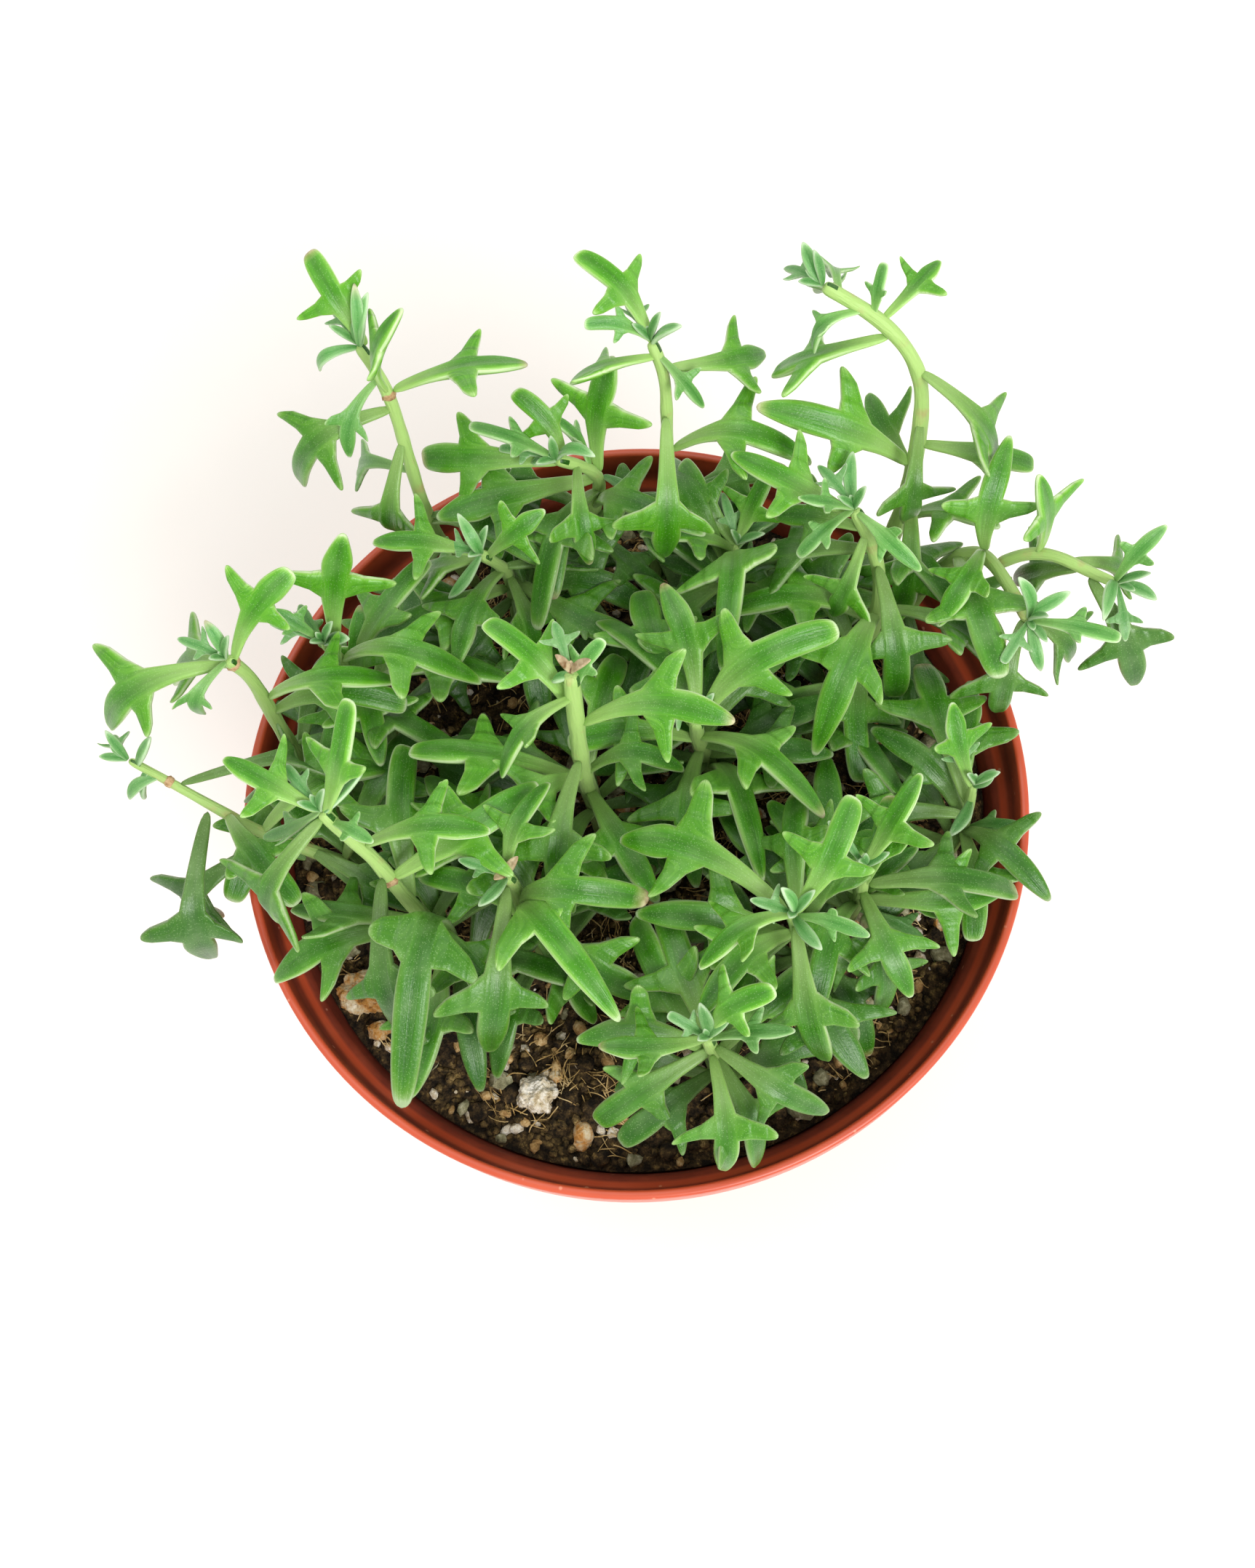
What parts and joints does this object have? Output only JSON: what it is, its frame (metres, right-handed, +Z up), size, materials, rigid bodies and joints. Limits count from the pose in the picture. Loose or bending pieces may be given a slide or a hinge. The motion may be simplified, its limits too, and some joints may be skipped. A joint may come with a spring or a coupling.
{
  "type": "potted string of dolphins",
  "caption": "Trailing succulent with dolphin-shaped leaves on arching stems, rooted in soil in a thin round tapered plastic nursery pot.",
  "frame": {"origin": "middle of the pot's flat foot, on the surface that it stands on", "axes": "+Z up along the pot's axis, +Y towards the back of the plant, +X to its right seen from the front"},
  "size_m": [0.1681, 0.1374, 0.1553],
  "materials": {
    "pot_plastic": "satin",
    "potting_soil": "matte",
    "pumice": "matte",
    "stem_skin": "satin",
    "leaf_skin": "satin"
  },
  "bodies": {
    "root": {"leaf_back_1": "leaf_skin", "leaf_back_2": "leaf_skin", "leaf_back_left_1": "leaf_skin", "leaf_back_left_2": "leaf_skin", "leaf_back_right_1": "leaf_skin", "leaf_back_right_2": "leaf_skin", "leaf_bottom_1": "leaf_skin", "leaf_bottom_2": "leaf_skin", "leaf_centre_1": "leaf_skin", "leaf_centre_2": "leaf_skin", "leaf_centre_3": "leaf_skin", "leaf_centre_4": "leaf_skin", "leaf_centre_right_1": "leaf_skin", "leaf_far_left_1": "leaf_skin", "leaf_inner_right_1": "leaf_skin", "leaf_inner_right_2": "leaf_skin", "leaf_left_1": "leaf_skin", "leaf_left_2": "leaf_skin", "leaf_left_3": "leaf_skin", "leaf_left_up_1": "leaf_skin", "leaf_left_up_2": "leaf_skin", "leaf_low_right_1": "leaf_skin", "leaf_lower_middle_1": "leaf_skin", "leaf_lower_right_1": "leaf_skin", "leaf_lower_right_2": "leaf_skin", "leaf_middle_left_1": "leaf_skin", "leaf_middle_left_2": "leaf_skin", "leaf_right_1": "leaf_skin", "leaf_right_2": "leaf_skin", "leaf_right_fork_1": "leaf_skin", "leaf_small_left_1": "leaf_skin", "leaf_upper_middle_1": "leaf_skin", "leaf_upper_middle_2": "leaf_skin", "leaf_upper_middle_3": "leaf_skin", "pot": "pot_plastic", "pumice_front": "pumice", "pumice_front_left": "pumice", "pumice_left": "pumice", "pumice_right": "pumice", "soil": "potting_soil", "stem_back": "stem_skin", "stem_back_left": "stem_skin", "stem_back_middle": "stem_skin", "stem_back_right": "stem_skin", "stem_bottom": "stem_skin", "stem_centre": "stem_skin", "stem_centre_right": "stem_skin", "stem_far_left": "stem_skin", "stem_inner_right": "stem_skin", "stem_left": "stem_skin", "stem_left_up": "stem_skin", "stem_low_right": "stem_skin", "stem_lower_middle": "stem_skin", "stem_lower_right": "stem_skin", "stem_middle_left": "stem_skin", "stem_right": "stem_skin", "stem_right_edge": "stem_skin", "stem_right_fork": "stem_skin", "stem_small_left": "stem_skin", "stem_upper_middle": "stem_skin"}
  },
  "joints": []
}
